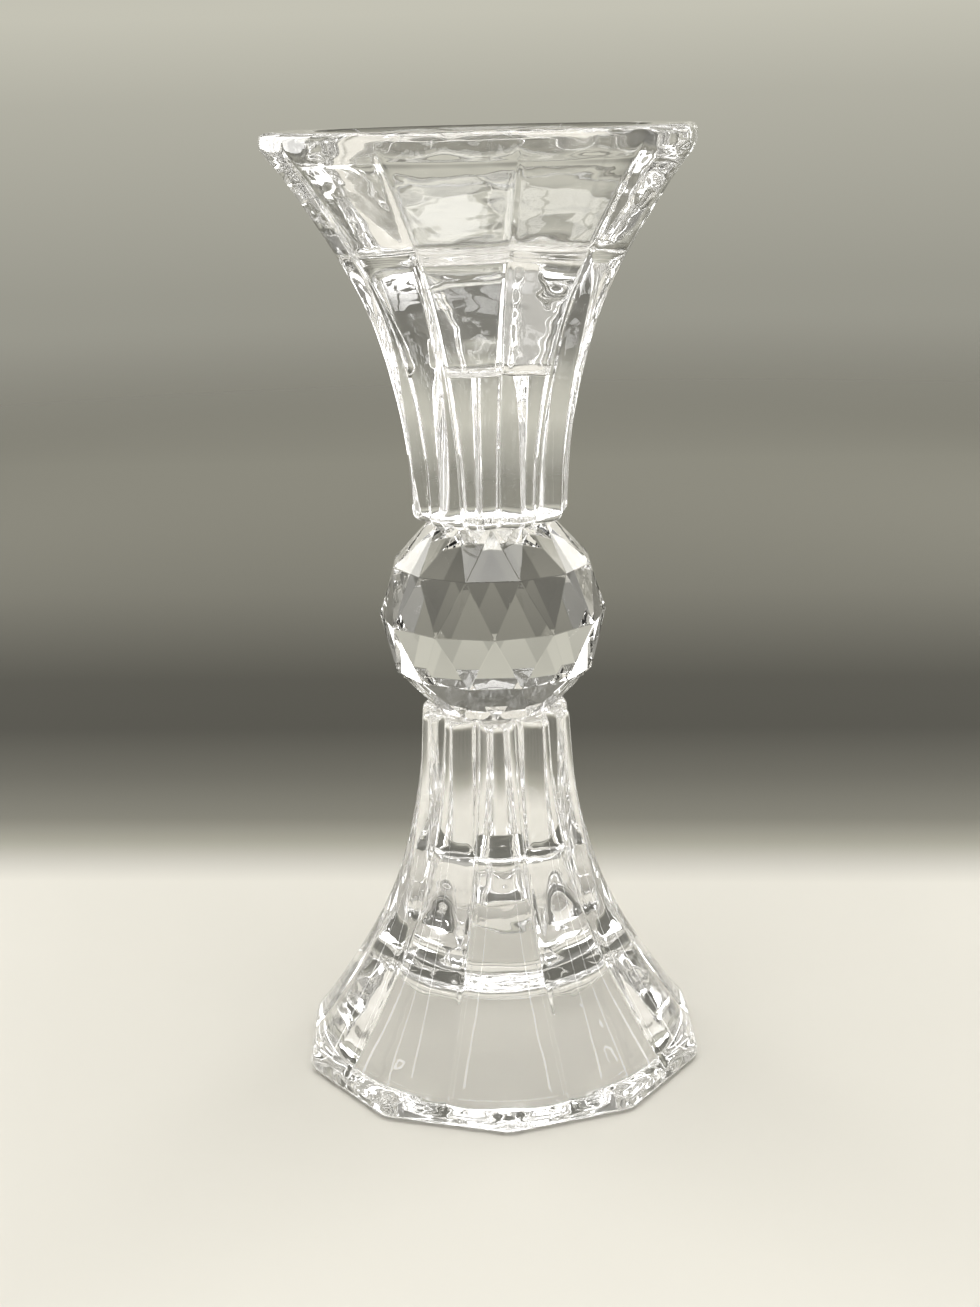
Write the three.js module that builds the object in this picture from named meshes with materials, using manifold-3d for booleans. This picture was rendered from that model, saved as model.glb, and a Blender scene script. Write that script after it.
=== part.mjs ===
// Glass candlestick: two identical pressed-glass mouldings, a cut crystal ball between them,
// and the two thin adhesive films that bond the three pieces into one stem.
//
// Units are millimetres, +Z is up, and the origin is the centre of the foot on the table.
// Both mouldings are drawn once, wide end down (wide end at z = 0, neck end at z = MOULD_LENGTH).
// The base is used as drawn. The cup is the same moulding turned over.

import * as THREE from 'three';
import { ConvexGeometry } from 'three/addons/geometries/ConvexGeometry.js';
import { mergeVertices } from 'three/addons/utils/BufferGeometryUtils.js';
import Module from 'manifold-3d';

// Whole stack
const MOULD_LENGTH = 82;
const FILM_THICKNESS = 0.3;
const BALL_TABLE_HEIGHT = 21.1;

// Ten-sided moulding
const SIDES = 10;
const BAND_CORNER_RADIUS = 46.2;
const BAND_CORNER_ROUNDING = 4;
const RIM_EDGE_ROUNDING = 0.8;
const LOBE_STEPS = 6;

// Neck end of the moulding, where it meets the ball
const NECK_RADIUS = 17;
const NECK_END_ROUNDING = 2;
const NECK_END_STEPS = 3;
const GROOVE_DEPTH_AT_FOOT = 1.6;
const GROOVE_DEPTH_AT_NECK = 3;

// Hollow in the wide end: a conical bowl, a tealight ledge and a taper-candle socket
const MOUTH_RADIUS = 34.5;
const LEDGE_DEPTH = 22;
const LEDGE_OUTER_RADIUS = 23;
const SOCKET_TOP_RADIUS = 12.4;
const SOCKET_FLOOR_RADIUS = 11;
const SOCKET_DEPTH = 49;
const FLOOR_ROUNDING = 1.5;
const HOLLOW_STEPS = 40;

// Cut ball: rings of twelve corners on a sphere, each ring half a step round from the last
const BALL_RADIUS = 25;
const BALL_CORNERS = 12;
const BALL_RING_LATITUDE = 28;

// Adhesive film
const FILM_RADIUS = 11.2;
const FILM_SIDES = 40;

// How far each piece was turned about the stem when it was bonded, in degrees
const CUP_TURN = -10.1;
const BALL_TURN = -0.6;

const BALL_CENTRE_Z = MOULD_LENGTH + FILM_THICKNESS + BALL_TABLE_HEIGHT;
const TOTAL_HEIGHT = 2 * BALL_CENTRE_Z;

// Outer radius of the flare against height above the wide end
const FLARE_CURVE = new THREE.SplineCurve([
  new THREE.Vector2(50.3, -1),
  new THREE.Vector2(43.6, 6.5),
  new THREE.Vector2(37.6, 15),
  new THREE.Vector2(29.7, 28),
  new THREE.Vector2(25.1, 37.5),
  new THREE.Vector2(21.9, 47),
  new THREE.Vector2(19.7, 56),
  new THREE.Vector2(18, 66),
  new THREE.Vector2(NECK_RADIUS, MOULD_LENGTH - NECK_END_ROUNDING),
]);
const FLARE_STEPS = 18;

const { Manifold, Mesh } = await loadManifold();

async function loadManifold() {
  const wasm = await Module();
  wasm.setup();
  return wasm;
}

// A closed geometry as a manifold solid, for joining and cutting
function toSolid(geometry) {
  const bare = geometry.clone();
  bare.deleteAttribute('normal');
  bare.deleteAttribute('uv');
  const merged = mergeVertices(bare, 1e-4);
  return new Manifold(new Mesh({
    numProp: 3,
    vertProperties: new Float32Array(merged.attributes.position.array),
    triVerts: new Uint32Array(merged.index.array),
  }));
}

// A manifold solid back as a geometry
function toGeometry(solid) {
  const mesh = solid.getMesh();
  const geometry = new THREE.BufferGeometry();
  geometry.setAttribute('position', new THREE.BufferAttribute(mesh.vertProperties, 3));
  geometry.setIndex(new THREE.BufferAttribute(mesh.triVerts, 1));
  return geometry;
}

// A profile of (radius, height) points spun about Z
function spin(profile, steps) {
  const geometry = new THREE.LatheGeometry(profile, steps);
  geometry.rotateX(Math.PI / 2);
  return geometry;
}

// A quarter circle of profile points about (centreRadius, centreHeight)
function arc(centreRadius, centreHeight, radius, fromAngle, toAngle, steps) {
  const points = [];
  for (let i = 0; i <= steps; i += 1) {
    const angle = THREE.MathUtils.degToRad(THREE.MathUtils.lerp(fromAngle, toAngle, i / steps));
    points.push(new THREE.Vector2(
      centreRadius + radius * Math.cos(angle),
      centreHeight + radius * Math.sin(angle),
    ));
  }
  return points;
}

// Depth of the V grooves between the lobes, which grow deeper towards the neck
function grooveDepth(height) {
  const along = THREE.MathUtils.clamp(height / MOULD_LENGTH, 0, 1);
  return THREE.MathUtils.lerp(GROOVE_DEPTH_AT_FOOT, GROOVE_DEPTH_AT_NECK, along);
}

// Trumpet-shaped flare with ten rounded lobes and a V groove between each pair
function flare() {
  const profile = [new THREE.Vector2(0, -1)];
  profile.push(...FLARE_CURVE.getSpacedPoints(FLARE_STEPS));
  profile.push(...arc(
    NECK_RADIUS - NECK_END_ROUNDING, MOULD_LENGTH - NECK_END_ROUNDING, NECK_END_ROUNDING,
    0, 90, NECK_END_STEPS,
  ).slice(1));
  profile.push(new THREE.Vector2(0, MOULD_LENGTH));
  const geometry = spin(profile, SIDES * LOBE_STEPS);
  const position = geometry.attributes.position;
  for (let i = 0; i < position.count; i += 1) {
    const x = position.getX(i);
    const y = position.getY(i);
    const radius = Math.hypot(x, y);
    if (radius > NECK_RADIUS - NECK_END_ROUNDING - 0.01) {
      const fromCrest = Math.atan2(x, y) * SIDES / 2;
      const groove = grooveDepth(position.getZ(i)) * (1 - Math.abs(Math.cos(fromCrest)));
      const scale = (radius - groove) / radius;
      position.setXY(i, x * scale, y * scale);
    }
  }
  return toSolid(geometry);
}

// Ten-sided prism that trims the wide end to its band, with softened corners and rim edge
function bandPrism() {
  const inner = BAND_CORNER_RADIUS - BAND_CORNER_ROUNDING;
  const halfTurn = Math.PI / SIDES;
  const outline = new THREE.Shape();
  for (let i = 0; i < SIDES; i += 1) {
    const corner = 2 * halfTurn * i - Math.PI / 2;
    outline.absarc(
      inner * Math.cos(corner), inner * Math.sin(corner), BAND_CORNER_ROUNDING - RIM_EDGE_ROUNDING,
      corner - halfTurn, corner + halfTurn, false,
    );
  }
  const geometry = new THREE.ExtrudeGeometry(outline, {
    depth: MOULD_LENGTH,
    curveSegments: 2,
    bevelThickness: RIM_EDGE_ROUNDING,
    bevelSize: RIM_EDGE_ROUNDING,
    bevelSegments: 2,
  });
  geometry.translate(0, 0, RIM_EDGE_ROUNDING);
  return toSolid(geometry);
}

// The hollow: conical bowl, flat ledge, tapered socket and its rounded floor edge
function hollow() {
  const profile = [
    new THREE.Vector2(0, -1),
    new THREE.Vector2(MOUTH_RADIUS + 1.8, -1),
    new THREE.Vector2(MOUTH_RADIUS, RIM_EDGE_ROUNDING),
    new THREE.Vector2(LEDGE_OUTER_RADIUS, LEDGE_DEPTH),
    new THREE.Vector2(SOCKET_TOP_RADIUS, LEDGE_DEPTH),
    ...arc(
      SOCKET_FLOOR_RADIUS - FLOOR_ROUNDING, SOCKET_DEPTH - FLOOR_ROUNDING, FLOOR_ROUNDING,
      0, 90, 3,
    ),
    new THREE.Vector2(0, SOCKET_DEPTH),
  ];
  return toSolid(spin(profile, HOLLOW_STEPS));
}

function moulding() {
  return toGeometry(flare().intersect(bandPrism()).subtract(hollow()));
}

// Corners of one ring of the cut ball
function ballRing(latitudeDegrees, stagger) {
  const latitude = THREE.MathUtils.degToRad(latitudeDegrees);
  const points = [];
  for (let i = 0; i < BALL_CORNERS; i += 1) {
    const turn = 2 * Math.PI * (i + stagger) / BALL_CORNERS - Math.PI / 2;
    points.push(new THREE.Vector3(
      BALL_RADIUS * Math.cos(latitude) * Math.cos(turn),
      BALL_RADIUS * Math.cos(latitude) * Math.sin(turn),
      BALL_RADIUS * Math.sin(latitude),
    ));
  }
  return points;
}

function cutBall() {
  const tableLatitude = THREE.MathUtils.radToDeg(Math.asin(BALL_TABLE_HEIGHT / BALL_RADIUS));
  return new ConvexGeometry([
    ...ballRing(-tableLatitude, 0),
    ...ballRing(-BALL_RING_LATITUDE, 0.5),
    ...ballRing(0, 0),
    ...ballRing(BALL_RING_LATITUDE, 0.5),
    ...ballRing(tableLatitude, 0),
  ]);
}

function film() {
  const geometry = new THREE.CylinderGeometry(FILM_RADIUS, FILM_RADIUS, FILM_THICKNESS, FILM_SIDES);
  geometry.rotateX(Math.PI / 2);
  return geometry;
}

const pressedGlass = new THREE.MeshStandardMaterial({ color: '#dfe4df', roughness: 0.05, metalness: 0 });
const cutCrystal = new THREE.MeshStandardMaterial({ color: '#eef1f1', roughness: 0.01, metalness: 0 });
const clearAdhesive = new THREE.MeshStandardMaterial({ color: '#e6e7df', roughness: 0.2, metalness: 0 });

function base() {
  const mesh = new THREE.Mesh(moulding(), pressedGlass.clone());
  mesh.name = 'pressed_glass_base';
  return mesh;
}

function cup() {
  const geometry = moulding();
  geometry.rotateX(Math.PI);
  geometry.rotateZ(THREE.MathUtils.degToRad(180 + CUP_TURN));
  const mesh = new THREE.Mesh(geometry, pressedGlass.clone());
  mesh.name = 'pressed_glass_cup';
  mesh.position.z = TOTAL_HEIGHT;
  return mesh;
}

function ball() {
  const mesh = new THREE.Mesh(cutBall(), cutCrystal);
  mesh.name = 'cut_crystal_ball';
  mesh.position.z = BALL_CENTRE_Z;
  mesh.rotation.z = THREE.MathUtils.degToRad(BALL_TURN);
  return mesh;
}

function adhesiveFilm(name, bottomZ) {
  const mesh = new THREE.Mesh(film(), clearAdhesive.clone());
  mesh.name = name;
  mesh.position.z = bottomZ + FILM_THICKNESS / 2;
  return mesh;
}

const candlestick = new THREE.Group();
candlestick.add(
  base(),
  adhesiveFilm('lower_adhesive_film', MOULD_LENGTH),
  ball(),
  adhesiveFilm('upper_adhesive_film', BALL_CENTRE_Z + BALL_TABLE_HEIGHT),
  cup(),
);

export default candlestick;
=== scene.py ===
"""Looks for the glass candlestick in a small studio.

Two pressed-glass mouldings, a cut crystal ball and the two bonds between them.
"""

import math

import bmesh
import bpy
import numpy as np
from mathutils import Matrix, Vector


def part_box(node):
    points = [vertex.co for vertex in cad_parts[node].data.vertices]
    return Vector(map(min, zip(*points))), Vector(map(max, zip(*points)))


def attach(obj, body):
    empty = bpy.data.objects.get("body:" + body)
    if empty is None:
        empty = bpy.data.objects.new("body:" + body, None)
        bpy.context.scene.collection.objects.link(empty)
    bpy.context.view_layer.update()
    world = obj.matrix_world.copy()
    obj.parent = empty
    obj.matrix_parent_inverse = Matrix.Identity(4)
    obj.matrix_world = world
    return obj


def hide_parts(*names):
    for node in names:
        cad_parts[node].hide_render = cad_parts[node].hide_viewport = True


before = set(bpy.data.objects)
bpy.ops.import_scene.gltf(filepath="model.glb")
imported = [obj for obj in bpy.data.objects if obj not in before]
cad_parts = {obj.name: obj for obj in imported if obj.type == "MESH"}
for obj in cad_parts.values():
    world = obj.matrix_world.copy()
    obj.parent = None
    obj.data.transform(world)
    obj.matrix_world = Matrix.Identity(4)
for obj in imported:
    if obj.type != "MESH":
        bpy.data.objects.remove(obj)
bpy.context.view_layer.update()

MM = 0.001

# ---------------------------------------------------------------- frame

BASE = "pressed_glass_base"
CUP = "pressed_glass_cup"
BALL = "cut_crystal_ball"
LOWER_FILM = "lower_adhesive_film"
UPPER_FILM = "upper_adhesive_film"

base_low, base_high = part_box(BASE)
cup_low, cup_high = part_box(CUP)
ball_low, ball_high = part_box(BALL)

LENGTH = (base_high.z - base_low.z) / MM
HEIGHT = cup_high.z / MM
BALL_CENTRE = (ball_low.z + ball_high.z) / 2 / MM
BALL_TABLE = (ball_high.z - ball_low.z) / 2 / MM

# ---------------------------------------------------------------- moulding, in millimetres

SIDES = 10
CORNER_RADIUS = 46.2
CORNER_ROUNDING = 4.0
RIM_ROUNDING = 1.8
BAND_EDGE_SOFTNESS = 0.7
NECK_ROUNDING = 2.0
GROOVE_AT_FOOT = 1.6
GROOVE_AT_NECK = 3.0
GROOVE_SOFTNESS = 0.04
NOTCH_DEPTH = 0.5
NOTCH_WIDTH = 0.8
BEAD_HEIGHT = 0.15
BEAD_PLACE = 5.8
BEAD_WIDTH = 0.45
MOUTH_RADIUS = 34.5
MOUTH_ROUNDING = 3.0
LEDGE_DEPTH = 22.0
LEDGE_RADIUS = 23.0
LEDGE_FILLET = 4.0
SOCKET_TOP_RADIUS = 12.4
SOCKET_EDGE_ROUNDING = 4.0
SOCKET_FLOOR_RADIUS = 11.0
SOCKET_DEPTH = 49.0
SOCKET_FILLET = 3.0
FLARE_HEIGHTS = (-1.0, 6.5, 15.0, 28.0, 37.5, 47.0, 56.0, 66.0, LENGTH - NECK_ROUNDING)
FLARE_RADII = (50.3, 43.6, 37.6, 29.7, 25.1, 21.9, 19.7, 18.0, 17.0)
BOND_RADIUS = 11.2

COLUMNS_PER_LOBE = 30
COLUMN_CROWDING = 1.6
FLARE_ROWS = 130
OUTLINE_GAP = 0.6
FLARE_CROWDING = 1.35
RIM_FLAT_ROWS = 7
RIM_ROUND_ROWS = 8
NECK_ROUND_ROWS = 12
NECK_FLAT_ROWS = 5
BOND_ROWS = 5
# how far from the neck end the waves die out, and where they start above the rim
WAVE_FADE_AT_NECK = 6
WAVE_FADE_AT_RIM = 4
WAVE_FREE_RIM = 0.3
STRAIGHT_CORNER = 0.01
# waves of the pressed surfaces: length, height, and how much more they lie flat than stand up
OUTER_WAVES = ((26, 0.014, 1), (14, 0.008, 1), (8, 0.003, 2))
HOLLOW_WAVES = ((20, 0.02, 1), (9, 0.02, 1), (4, 0.012, 2), (2.2, 0.005, 2))
WAVES_PER_LENGTH = 5

# turns about the stem, in degrees
CUP_TURN = -10.1
BALL_TURN = -0.6

# ---------------------------------------------------------------- ball, in millimetres

BALL_RADIUS = 25.0
BALL_CORNERS = 12
BALL_RING_LATITUDE = 28.0
BALL_EDGE_BEVEL = 0.1
# two faces closer than this in angle, in degrees, are one facet
SAME_FACET = 1
DISC_STEPS = 72
ROUNDING_STEPS = 8
FILM_BULGE = 1.012

# ---------------------------------------------------------------- glasses

GLASS_IOR = 1.517
CRYSTAL_IOR = 1.56
ADHESIVE_IOR = 1.5
ADHESIVE_COLOUR = (1.0, 0.99, 0.96)
ADHESIVE_ROUGHNESS = 0.05
CLEAR = (1.0, 1.0, 1.0)
# fine waviness of the pressed surface: scale of the noise, and depth in metres
FINE_WAVE_SCALE = 250
FINE_WAVE_DEPTH = 0.000003


# ---------------------------------------------------------------- table top, in metres

# How far behind the stem the table stays pale, and its painted shade: greys against distance past that line
FLOOR_BACK = 0.095
FLOOR_RAMP_LENGTH = 1.0
FLOOR_PAINTED_SHADE = (
    (0, 0.7),
    (0.012, 0.56),
    (0.03, 0.33),
    (0.05, 0.19),
    (0.09, 0.12),
    (0.14, 0.068),
    (0.2, 0.075),
    (0.34, 0.185),
    (0.42, 0.225),
    (0.66, 0.35),
)
# The turn of the painted shade's line, in degrees
FLOOR_TURN = -5
# Under the foot the table is paler, which makes up for the light that the glass keeps off it
FOOT_EDGE = (0.034, 0.044)
FOOT_LIFT = 1.35
FLOOR_RADIUS = 1.6
FLOOR_SIDES = 96
FLOOR_DROP = -0.0002
FLOOR_FADE_START = 0.5
FLOOR_ROUGHNESS = 0.45
FLOOR_SPECULAR = 0.2
WARM = (1.0, 0.975, 0.89)
# The painted shade on the table behind, like the backdrop, is more olive than the lit table, and starts below
# this grey
SHADE_TINT = (1.0, 0.977, 0.83)
SHADE_GREY = 0.5

# ---------------------------------------------------------------- light tent and lights

# Greys against the upward part of the direction, behind the object and all round it
TENT_LOW = -0.25
BACKDROP_GREYS = (
    (-0.25, 0.24),
    (-0.09, 0.33),
    (0.0, 0.45),
    (0.04, 0.56),
    (0.1, 0.5),
    (0.25, 0.15),
    (1.0, 0.08),
)
TENT_GREYS = ((-0.25, 0.5), (0.3, 0.5), (0.6, 0.28), (1.0, 0.28))
BACKDROP_EDGE = (0.45, 0.75)

LIGHT_COLOUR = (1, 0.99, 0.975)
CEILING_X = (-0.35, 0, 0.35)
CEILING_Y = (-0.4, -0.1, 0.2)
CEILING_HEIGHT = 1.0
CEILING_PANEL = (0.3, 0.3)
CEILING_POWER = 1.2
# Ring of narrow upright strips round the front and the sides
RING_AZIMUTHS = (-110, -80, -50, 50, 80, 110)
RING_RADIUS = 0.75
RING_HEIGHT = 0.28
RING_STRIP = (0.025, 0.5)
RING_POWER = 0.22
# One wide strip on each side, behind the object
BACK_PLACE = (0.5, 0.5, 0.35)
BACK_STRIP = (0.2, 0.5)
BACK_POWER = 1.1

# ---------------------------------------------------------------- camera

# Fitted to the foot's corners and the rim's edges, then adjusted

CAMERA_DISTANCE = 0.4222
CAMERA_HEIGHT = 0.2132
CAMERA_TURN = -1.1
CAMERA_AIM = 0.12
CAMERA_PITCH = 15.81
CAMERA_ROLL = -1.41
FOCAL_SHARE = 1974 / 1307
SENSOR_WIDTH = 36
CLIP_START = 0.01

LIGHT_BOUNCES = 24
GLOSSY_BOUNCES = 12


def hermite(xs, ys, x):
    """A smooth curve through points, with the slopes of a Catmull-Rom spline."""
    xs = np.asarray(xs, float)
    ys = np.asarray(ys, float)
    slopes = np.gradient(ys, xs)
    i = np.clip(np.searchsorted(xs, x) - 1, 0, len(xs) - 2)
    step = xs[i + 1] - xs[i]
    t = (x - xs[i]) / step
    return (
        (2 * t**3 - 3 * t**2 + 1) * ys[i]
        + (t**3 - 2 * t**2 + t) * step * slopes[i]
        + (-2 * t**3 + 3 * t**2) * ys[i + 1]
        + (t**3 - t**2) * step * slopes[i + 1]
    )


def smooth_min(a, b, softness):
    return (a + b - np.sqrt((a - b) ** 2 + softness**2)) / 2


def decagon(theta):
    """Radius of the ten-sided band with rounded corners. theta is 0 at a corner."""
    centre = CORNER_RADIUS - CORNER_ROUNDING
    half = math.pi / SIDES
    psi = np.abs((theta + half) % (2 * half) - half)
    flat = (centre * math.cos(half) + CORNER_ROUNDING) / np.cos(half - psi)
    last = math.atan2(CORNER_ROUNDING * math.sin(half), centre + CORNER_ROUNDING * math.cos(half))
    on_arc = psi < last
    arc = centre * np.cos(psi) + np.sqrt(CORNER_ROUNDING**2 - (centre * np.sin(psi)) ** 2 * on_arc)
    return np.where(on_arc, arc, flat)


def flare(theta, s):
    """Radius of the lobed flare at height s above the wide end."""
    radius = hermite(FLARE_HEIGHTS, FLARE_RADII, s)
    depth = GROOVE_AT_FOOT + (GROOVE_AT_NECK - GROOVE_AT_FOOT) * np.clip(s / LENGTH, 0, 1)
    crest = np.sqrt(np.cos(theta * SIDES / 2) ** 2 + GROOVE_SOFTNESS**2)
    crest = crest / math.sqrt(1 + GROOVE_SOFTNESS**2)
    half = math.pi / SIDES
    from_groove = np.abs(theta % (2 * half) - half) * radius
    notch = NOTCH_DEPTH * np.exp(-((from_groove / NOTCH_WIDTH) ** 2))
    bead = BEAD_HEIGHT * np.exp(-(((s - BEAD_PLACE) / BEAD_WIDTH) ** 2))
    return radius - depth * (1 - crest) - notch + bead


def lobe_columns():
    """Angles of the columns, crowded towards the grooves."""
    t = np.arange(COLUMNS_PER_LOBE) * 2 / COLUMNS_PER_LOBE - 1
    u = np.sign(t) * (1 - (1 - np.abs(t)) ** COLUMN_CROWDING)
    half = math.pi / SIDES
    return np.concatenate([u * half + 2 * half * i for i in range(SIDES)])


def rounded_outline(corners, gap):
    """Points along an outline of (radius, depth, rounding) corners, no further apart than gap."""
    points = [corners[0][:2]]
    for before, (x, y, rounding), after in zip(corners[:-2], corners[1:-1], corners[2:]):
        corner = Vector((x, y))
        back = (Vector(before[:2]) - corner).normalized()
        ahead = (Vector(after[:2]) - corner).normalized()
        opening = back.angle(ahead)
        if math.pi - opening < STRAIGHT_CORNER:
            continue
        reach = rounding / math.tan(opening / 2)
        centre = corner + (back + ahead).normalized() * rounding / math.sin(opening / 2)
        start = corner + back * reach - centre
        turn = start.angle_signed(corner + ahead * reach - centre)
        for i in range(ROUNDING_STEPS + 1):
            angle = -turn * i / ROUNDING_STEPS
            spoke = Matrix.Rotation(angle, 2) @ start
            points.append(tuple(centre + spoke))
    points.append(corners[-1][:2])
    out = [points[0]]
    for a, b in zip(points[:-1], points[1:]):
        count = max(1, int(math.ceil(math.dist(a, b) / gap)))
        for i in range(1, count + 1):
            out.append((a[0] + (b[0] - a[0]) * i / count, a[1] + (b[1] - a[1]) * i / count))
    return out


def hollow_outline():
    """Outline of the hollow from its floor's centre to the rim, as (radius, depth) points."""
    corners = [
        (0.02, SOCKET_DEPTH, 0),
        (SOCKET_FLOOR_RADIUS, SOCKET_DEPTH, SOCKET_FILLET),
        (SOCKET_TOP_RADIUS, LEDGE_DEPTH, SOCKET_EDGE_ROUNDING),
        (LEDGE_RADIUS, LEDGE_DEPTH, LEDGE_FILLET),
        (MOUTH_RADIUS, 0, MOUTH_ROUNDING),
        (MOUTH_RADIUS + 2 * MOUTH_ROUNDING, 0, 0),
    ]
    return rounded_outline(corners, OUTLINE_GAP)


def moulding_rows(theta):
    """Rows of (radius, height) arrays, from the hollow's floor round the rim to the neck end's centre."""
    ones = np.ones_like(theta)
    rows = [(r * ones, s * ones) for r, s in hollow_outline()]
    rim_inner = rows[-1][0]
    band = smooth_min(decagon(theta), flare(theta, RIM_ROUNDING * ones), BAND_EDGE_SOFTNESS)
    rim_outer = band - RIM_ROUNDING
    for t in np.linspace(0, 1, RIM_FLAT_ROWS + 1)[1:]:
        rows.append((rim_inner + (rim_outer - rim_inner) * t, 0 * ones))
    for a in np.radians(np.linspace(0, 90, RIM_ROUND_ROWS + 1)[1:]):
        rows.append((rim_outer + RIM_ROUNDING * math.sin(a), RIM_ROUNDING * (1 - math.cos(a)) * ones))
    top = LENGTH - NECK_ROUNDING
    for t in np.linspace(0, 1, FLARE_ROWS)[1:]:
        s = RIM_ROUNDING + (top - RIM_ROUNDING) * t**FLARE_CROWDING
        rows.append((smooth_min(decagon(theta), flare(theta, s * ones), BAND_EDGE_SOFTNESS), s * ones))
    neck = rows[-1][0]
    for a in np.radians(np.linspace(0, 90, NECK_ROUND_ROWS + 1)[1:]):
        rows.append((neck - NECK_ROUNDING * (1 - math.cos(a)), (top + NECK_ROUNDING * math.sin(a)) * ones))
    edge = rows[-1][0]
    for t in np.linspace(0, 1, NECK_FLAT_ROWS + 1)[1:]:
        rows.append((edge + (BOND_RADIUS - edge) * t, LENGTH * ones))
    bond_row = len(rows) - 1
    for r in np.linspace(BOND_RADIUS, 0, BOND_ROWS + 1)[1:-1]:
        rows.append((r * ones, LENGTH * ones))
    return rows, bond_row


def ripple(points, seed, waves):
    """Smooth small displacements of a pressed surface, from sums of random waves."""
    draw = np.random.RandomState(seed)
    total = np.zeros(len(points))
    for wavelength, height, flatness in waves:
        for _ in range(WAVES_PER_LENGTH):
            direction = draw.normal(size=3) * (1, 1, flatness)
            direction /= np.linalg.norm(direction)
            phase = draw.uniform(0, 2 * math.pi)
            total += height * np.sin(points @ direction * 2 * math.pi / wavelength + phase)
    return total


def mesh_object(name, vertices, faces, materials, indices=None):
    mesh = bpy.data.meshes.new(name)
    mesh.from_pydata([tuple(v) for v in vertices], [], faces)
    for m in materials:
        mesh.materials.append(m)
    if indices is not None:
        mesh.polygons.foreach_set("material_index", indices)
    mesh.update()
    obj = bpy.data.objects.new(name, mesh)
    bpy.context.scene.collection.objects.link(obj)
    return obj


def moulding(name, materials, place, seed):
    theta = lobe_columns()
    columns = len(theta)
    rows, bond_row = moulding_rows(theta)
    r = np.array([row[0] for row in rows])
    s = np.array([row[1] for row in rows])
    x = r * np.sin(theta)
    y = -r * np.cos(theta)
    points = np.stack([x, y, s], -1)
    flat = points.reshape(-1, 3)
    normals = grid_normals(points).reshape(-1, 3)
    s = flat[:, 2]
    fade = np.clip((LENGTH - s) / WAVE_FADE_AT_NECK, 0, 1)
    fade = fade * np.clip((s - WAVE_FREE_RIM) / WAVE_FADE_AT_RIM, 0, 1)
    hollow_points = len(hollow_outline()) * columns
    wave = ripple(flat, seed, OUTER_WAVES)
    wave[:hollow_points] = ripple(flat[:hollow_points], seed + 1, HOLLOW_WAVES)
    flat = flat + normals * (wave * fade)[:, None]
    count = len(rows)
    first = len(flat)
    vertices = np.vstack([flat, [[0, 0, SOCKET_DEPTH], [0, 0, LENGTH]]])
    faces = []
    indices = []
    for j in range(count - 1):
        for i in range(columns):
            k = (i + 1) % columns
            faces.append((j * columns + i, j * columns + k, (j + 1) * columns + k, (j + 1) * columns + i))
            indices.append(1 if j >= bond_row else 0)
    for i in range(columns):
        k = (i + 1) % columns
        faces.append((first, k, i))
        indices.append(0)
        faces.append((first + 1, (count - 1) * columns + i, (count - 1) * columns + k))
        indices.append(1)
    obj = mesh_object(name, vertices * MM, faces, materials, indices)
    obj.data.transform(place)
    if place.determinant() < 0:
        obj.data.flip_normals()
    obj.data.shade_smooth()
    return obj


def grid_normals(points):
    """Outward unit normals of a grid of rows by columns that closes round its columns."""
    along = np.gradient(points, axis=0)
    around = np.roll(points, -1, axis=1) - np.roll(points, 1, axis=1)
    normal = np.cross(around, along)
    size = np.linalg.norm(normal, axis=-1, keepdims=True)
    return normal / np.maximum(size, 1e-9)


def ball_ring(latitude, stagger):
    lat = math.radians(latitude)
    turns = [2 * math.pi * (i + stagger) / BALL_CORNERS for i in range(BALL_CORNERS)]
    flat = BALL_RADIUS * math.cos(lat)
    return [(flat * math.sin(t), -flat * math.cos(t), BALL_RADIUS * math.sin(lat)) for t in turns]


def cut_ball(name, materials):
    table = math.degrees(math.asin(BALL_TABLE / BALL_RADIUS))
    bm = bmesh.new()
    rings = (
        (-table, 0),
        (-BALL_RING_LATITUDE, 0.5),
        (0, 0),
        (BALL_RING_LATITUDE, 0.5),
        (table, 0),
    )
    for latitude, stagger in rings:
        for p in ball_ring(latitude, stagger):
            bm.verts.new(p)
    bmesh.ops.convex_hull(bm, input=bm.verts[:])
    bmesh.ops.dissolve_limit(bm, angle_limit=math.radians(SAME_FACET), verts=bm.verts[:], edges=bm.edges[:])
    bmesh.ops.bevel(bm, geom=bm.edges[:], offset=BALL_EDGE_BEVEL, segments=1, profile=0.5, affect="EDGES")
    for side in (1, -1):
        bond_face(bm, side)
    bmesh.ops.recalc_face_normals(bm, faces=bm.faces[:])
    bm.transform(Matrix.Translation((0, 0, BALL_CENTRE)))
    bm.transform(Matrix.Rotation(math.radians(BALL_TURN), 4, "Z"))
    bm.transform(Matrix.Scale(MM, 4))
    mesh = bpy.data.meshes.new(name)
    bm.to_mesh(mesh)
    bm.free()
    for m in materials:
        mesh.materials.append(m)
    obj = bpy.data.objects.new(name, mesh)
    bpy.context.scene.collection.objects.link(obj)
    return obj


def bond_face(bm, side):
    """Cuts the round bonded patch into the ball's flat on one side."""
    table = max(bm.faces, key=lambda f: f.normal.z * side * f.calc_area())
    z = table.calc_center_median().z
    outer = table.edges[:]
    bmesh.ops.delete(bm, geom=[table], context="FACES_ONLY")
    circle = [
        bm.verts.new((BOND_RADIUS * math.sin(a), BOND_RADIUS * math.cos(a), z))
        for a in np.arange(DISC_STEPS) * 2 * math.pi / DISC_STEPS
    ]
    inner = [bm.edges.new((circle[i - 1], circle[i])) for i in range(DISC_STEPS)]
    bmesh.ops.triangle_fill(bm, use_beauty=True, edges=outer + inner)
    for face in [f for f in bm.faces if all(v in circle for v in f.verts)]:
        bm.faces.remove(face)
    patch = bm.faces.new(circle)
    patch.material_index = 1


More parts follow.
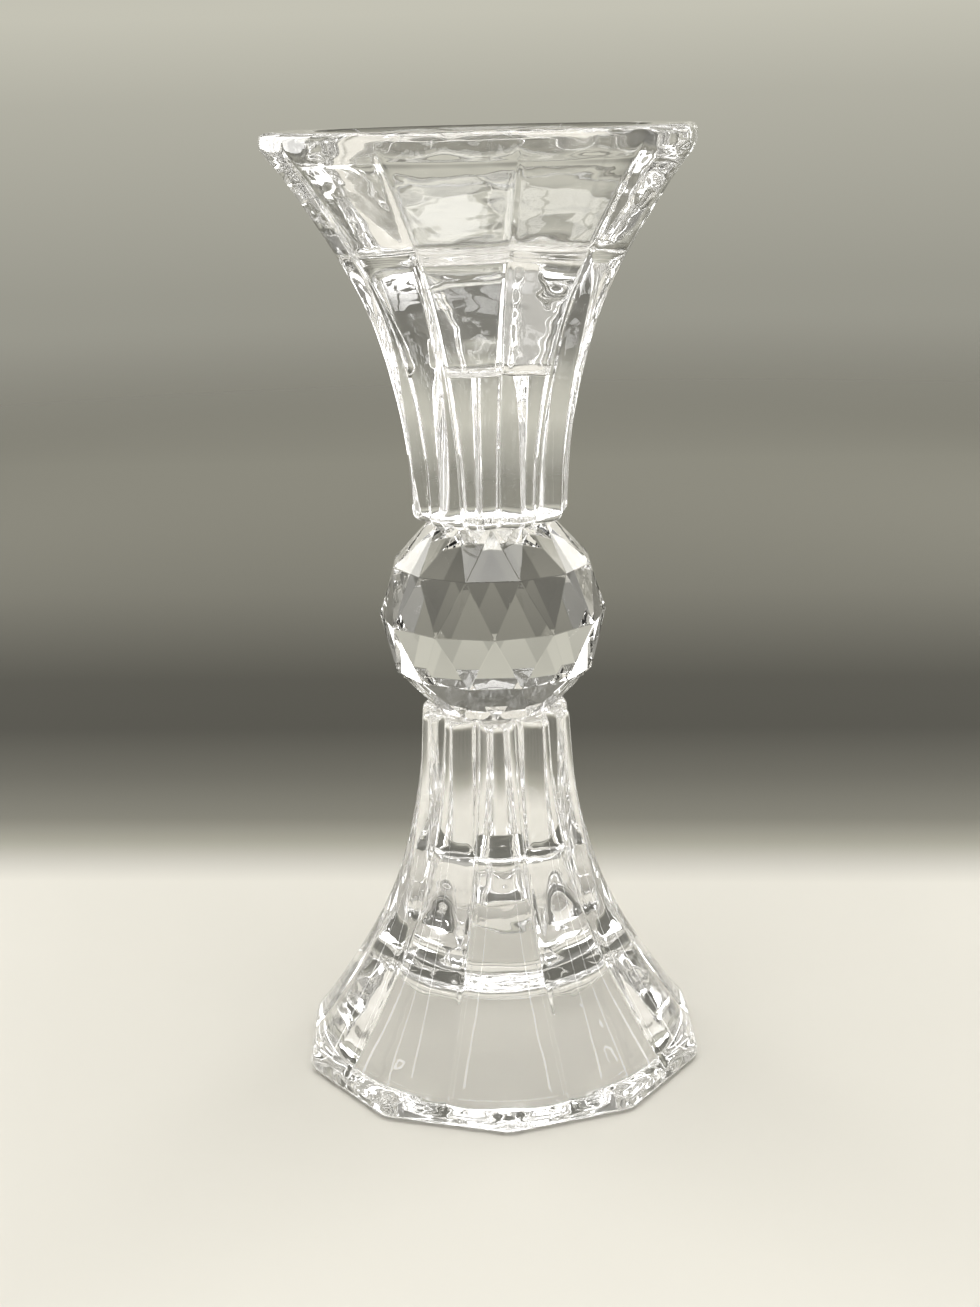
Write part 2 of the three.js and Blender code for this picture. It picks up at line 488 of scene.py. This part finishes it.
def film(name, node, materials):
    low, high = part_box(node)
    angles = np.arange(DISC_STEPS) * 2 * math.pi / DISC_STEPS
    rim = np.stack([np.sin(angles), -np.cos(angles)], -1) * BOND_RADIUS * MM
    middle = rim * FILM_BULGE
    rings = [(rim, low.z), (middle, (low.z + high.z) / 2), (rim, high.z)]
    vertices = [(x, y, z) for ring, z in rings for x, y in ring]
    faces = []
    for j in range(2):
        for i in range(DISC_STEPS):
            k = (i + 1) % DISC_STEPS
            a = j * DISC_STEPS
            faces.append((a + i, a + k, a + DISC_STEPS + k, a + DISC_STEPS + i))
    indices = [0] * len(faces) + [1, 1]
    faces.append(tuple(range(DISC_STEPS - 1, -1, -1)))
    faces.append(tuple(range(2 * DISC_STEPS, 3 * DISC_STEPS)))
    return mesh_object(name, vertices, faces, materials, indices)


# ---------------------------------------------------------------- materials


def new_material(name):
    material = bpy.data.materials.new(name)
    material.use_nodes = True
    material.node_tree.nodes.clear()
    return material, material.node_tree.nodes, material.node_tree.links


def clear_glass(name, colour, ior, roughness, wavy=False):
    """Clear glass, with a very fine surface waviness where it is pressed."""
    material, nodes, links = new_material(name)
    out = nodes.new("ShaderNodeOutputMaterial")
    shader = nodes.new("ShaderNodeBsdfPrincipled")
    shader.inputs["Base Color"].default_value = (*colour, 1)
    shader.inputs["Transmission Weight"].default_value = 1
    shader.inputs["IOR"].default_value = ior
    shader.inputs["Roughness"].default_value = roughness
    links.new(shader.outputs[0], out.inputs["Surface"])
    if wavy:
        place = nodes.new("ShaderNodeTexCoord")
        waves = nodes.new("ShaderNodeTexNoise")
        bump = nodes.new("ShaderNodeBump")
        waves.inputs["Scale"].default_value = FINE_WAVE_SCALE
        waves.inputs["Detail"].default_value = 2
        bump.inputs["Strength"].default_value = 1
        bump.inputs["Distance"].default_value = FINE_WAVE_DEPTH
        links.new(place.outputs["Object"], waves.inputs["Vector"])
        links.new(waves.outputs["Fac"], bump.inputs["Height"])
        links.new(bump.outputs["Normal"], shader.inputs["Normal"])
    return material


def bonded_material():
    """A face in optical contact with the adhesive: light crosses it without bending."""
    material, nodes, links = new_material("optical_contact")
    out = nodes.new("ShaderNodeOutputMaterial")
    shader = nodes.new("ShaderNodeBsdfTransparent")
    links.new(shader.outputs[0], out.inputs["Surface"])
    return material


def ramp_node(nodes, stops):
    ramp = nodes.new("ShaderNodeValToRGB")
    elements = ramp.color_ramp.elements
    while len(elements) < len(stops):
        elements.new(0.5)
    for element, (position, level) in zip(elements, stops):
        element.position = position
        element.color = (*level, 1)
    return ramp


def tinted(grey, tint):
    return tuple(grey * c for c in tint)


def floor_material():
    """Pale table top with a painted soft shade behind the object and painted light under the foot, fading out
    into the tent.
    """
    material, nodes, links = new_material("pale_floor")
    out = nodes.new("ShaderNodeOutputMaterial")
    shader = nodes.new("ShaderNodeBsdfPrincipled")
    clear = nodes.new("ShaderNodeBsdfTransparent")
    cover = nodes.new("ShaderNodeMixShader")
    shader.inputs["Roughness"].default_value = FLOOR_ROUGHNESS
    shader.inputs["Specular IOR Level"].default_value = FLOOR_SPECULAR
    place = nodes.new("ShaderNodeTexCoord")
    split = nodes.new("ShaderNodeSeparateXYZ")
    away = nodes.new("ShaderNodeVectorMath")
    away.operation = "LENGTH"
    past = nodes.new("ShaderNodeMapRange")
    past.inputs["From Min"].default_value = FLOOR_BACK
    past.inputs["From Max"].default_value = FLOOR_BACK + FLOOR_RAMP_LENGTH
    fade = nodes.new("ShaderNodeMapRange")
    fade.interpolation_type = "SMOOTHSTEP"
    fade.inputs["From Min"].default_value = FLOOR_FADE_START
    fade.inputs["From Max"].default_value = FLOOR_RADIUS
    under = nodes.new("ShaderNodeMapRange")
    under.interpolation_type = "SMOOTHSTEP"
    under.inputs["From Min"].default_value = FOOT_EDGE[0]
    under.inputs["From Max"].default_value = FOOT_EDGE[1]
    under.inputs["To Min"].default_value = FOOT_LIFT
    under.inputs["To Max"].default_value = 1
    lifted = nodes.new("ShaderNodeVectorMath")
    lifted.operation = "SCALE"
    # Painted shade: the table's colour darkens with distance behind the stem, then lightens again further back
    tints = [WARM if grey > SHADE_GREY else SHADE_TINT for _, grey in FLOOR_PAINTED_SHADE]
    greys = ramp_node(nodes, [(d, tinted(grey, tint)) for (d, grey), tint in zip(FLOOR_PAINTED_SHADE, tints)])
    links.new(place.outputs["Object"], split.inputs[0])
    links.new(place.outputs["Object"], away.inputs[0])
    links.new(split.outputs["Y"], past.inputs["Value"])
    links.new(past.outputs[0], greys.inputs[0])
    links.new(away.outputs["Value"], under.inputs["Value"])
    links.new(greys.outputs[0], lifted.inputs[0])
    links.new(under.outputs[0], lifted.inputs["Scale"])
    links.new(lifted.outputs[0], shader.inputs["Base Color"])
    links.new(away.outputs["Value"], fade.inputs["Value"])
    links.new(fade.outputs[0], cover.inputs["Fac"])
    links.new(shader.outputs[0], cover.inputs[1])
    links.new(clear.outputs[0], cover.inputs[2])
    links.new(cover.outputs[0], out.inputs["Surface"])
    return material


def make_floor():
    bpy.ops.mesh.primitive_circle_add(
        vertices=FLOOR_SIDES, radius=FLOOR_RADIUS, fill_type="NGON", location=(0, 0, FLOOR_DROP)
    )
    floor = bpy.context.object
    floor.name = "table_top"
    floor.rotation_euler.z = math.radians(FLOOR_TURN)
    floor.data.materials.append(floor_material())


def greys_by_height(nodes, greys, tint):
    return ramp_node(nodes, [((z - TENT_LOW) / (1 - TENT_LOW), tinted(grey, tint)) for z, grey in greys])


def make_world():
    world = bpy.data.worlds.new("studio")
    bpy.context.scene.world = world
    world.use_nodes = True
    nodes = world.node_tree.nodes
    links = world.node_tree.links
    nodes.clear()
    out = nodes.new("ShaderNodeOutputWorld")
    background = nodes.new("ShaderNodeBackground")
    place = nodes.new("ShaderNodeTexCoord")
    split = nodes.new("ShaderNodeSeparateXYZ")
    height = nodes.new("ShaderNodeMapRange")
    height.inputs["From Min"].default_value = TENT_LOW
    backdrop_share = nodes.new("ShaderNodeMapRange")
    backdrop_share.interpolation_type = "SMOOTHSTEP"
    backdrop_share.inputs["From Min"].default_value = BACKDROP_EDGE[0]
    backdrop_share.inputs["From Max"].default_value = BACKDROP_EDGE[1]
    tent = greys_by_height(nodes, TENT_GREYS, WARM)
    backdrop = greys_by_height(nodes, BACKDROP_GREYS, SHADE_TINT)
    mix = nodes.new("ShaderNodeMix")
    mix.data_type = "RGBA"
    links.new(place.outputs["Generated"], split.inputs[0])
    links.new(split.outputs["Z"], height.inputs["Value"])
    links.new(split.outputs["Y"], backdrop_share.inputs["Value"])
    links.new(height.outputs[0], tent.inputs[0])
    links.new(height.outputs[0], backdrop.inputs[0])
    links.new(backdrop_share.outputs[0], mix.inputs["Factor"])
    links.new(tent.outputs[0], mix.inputs["A"])
    links.new(backdrop.outputs[0], mix.inputs["B"])
    links.new(mix.outputs["Result"], background.inputs["Color"])
    links.new(background.outputs[0], out.inputs["Surface"])


def area_light(name, location, target, size, power):
    data = bpy.data.lights.new(name, "AREA")
    data.shape = "RECTANGLE"
    data.size, data.size_y = size
    data.energy = power
    data.color = LIGHT_COLOUR
    light = bpy.data.objects.new(name, data)
    light.location = location
    direction = Vector(target) - Vector(location)
    light.rotation_euler = direction.to_track_quat("-Z", "Y").to_euler()
    bpy.context.scene.collection.objects.link(light)
    return light


def make_lights():
    middle = (0, 0, HEIGHT * MM / 2)
    for i, x in enumerate(CEILING_X):
        for j, y in enumerate(CEILING_Y):
            area_light(f"ceiling_panel_{i}{j}", (x, y, CEILING_HEIGHT), (x, y, 0), CEILING_PANEL, CEILING_POWER)
    for azimuth in RING_AZIMUTHS:
        turn = math.radians(azimuth)
        place = (RING_RADIUS * math.sin(turn), -RING_RADIUS * math.cos(turn), RING_HEIGHT)
        area_light(f"strip_{azimuth}", place, middle, RING_STRIP, RING_POWER)
    x, y, z = BACK_PLACE
    area_light("left_back_strip", (-x, y, z), middle, BACK_STRIP, BACK_POWER)
    area_light("right_back_strip", (x, y, z), middle, BACK_STRIP, BACK_POWER)


def make_camera():
    data = bpy.data.cameras.new("camera")
    data.sensor_width = SENSOR_WIDTH
    data.lens = SENSOR_WIDTH * FOCAL_SHARE
    data.clip_start = CLIP_START
    camera = bpy.data.objects.new("camera", data)
    turn = math.radians(CAMERA_TURN)
    place = Vector((CAMERA_DISTANCE * math.sin(turn), -CAMERA_DISTANCE * math.cos(turn), CAMERA_HEIGHT))
    camera.matrix_world = (
        Matrix.Translation(place)
        @ Matrix.Rotation(turn + math.radians(CAMERA_AIM), 4, "Z")
        @ Matrix.Rotation(math.radians(90 - CAMERA_PITCH), 4, "X")
        @ Matrix.Rotation(math.radians(CAMERA_ROLL), 4, "Z")
    )
    bpy.context.scene.collection.objects.link(camera)
    bpy.context.scene.camera = camera


def light_paths():
    cycles = bpy.context.scene.cycles
    cycles.max_bounces = LIGHT_BOUNCES
    cycles.transmission_bounces = LIGHT_BOUNCES
    cycles.transparent_max_bounces = LIGHT_BOUNCES
    cycles.glossy_bounces = GLOSSY_BOUNCES


def take_place_of(piece, node):
    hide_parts(node)
    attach(piece, "root")


def build():
    contact = bonded_material()
    pressed = clear_glass("pressed_glass", CLEAR, GLASS_IOR, 0.0, wavy=True)
    crystal = clear_glass("cut_crystal", CLEAR, CRYSTAL_IOR, 0.0)
    adhesive = clear_glass("clear_adhesive", ADHESIVE_COLOUR, ADHESIVE_IOR, ADHESIVE_ROUGHNESS)
    up = Matrix.Identity(4)
    over = (
        Matrix.Translation((0, 0, HEIGHT * MM))
        @ Matrix.Rotation(math.radians(CUP_TURN + 180), 4, "Z")
        @ Matrix.Rotation(math.pi, 4, "X")
    )
    base = moulding("base_moulding", (pressed, contact), up, 11)
    cup = moulding("cup_moulding", (pressed, contact), over, 23)
    ball = cut_ball("faceted_ball", (crystal, contact))
    lower = film("lower_bond", LOWER_FILM, (adhesive, contact))
    upper = film("upper_bond", UPPER_FILM, (adhesive, contact))
    take_place_of(base, BASE)
    take_place_of(cup, CUP)
    take_place_of(ball, BALL)
    take_place_of(lower, LOWER_FILM)
    take_place_of(upper, UPPER_FILM)


build()
make_floor()
make_world()
make_lights()
make_camera()
light_paths()
bpy.context.scene.view_settings.view_transform = "Standard"
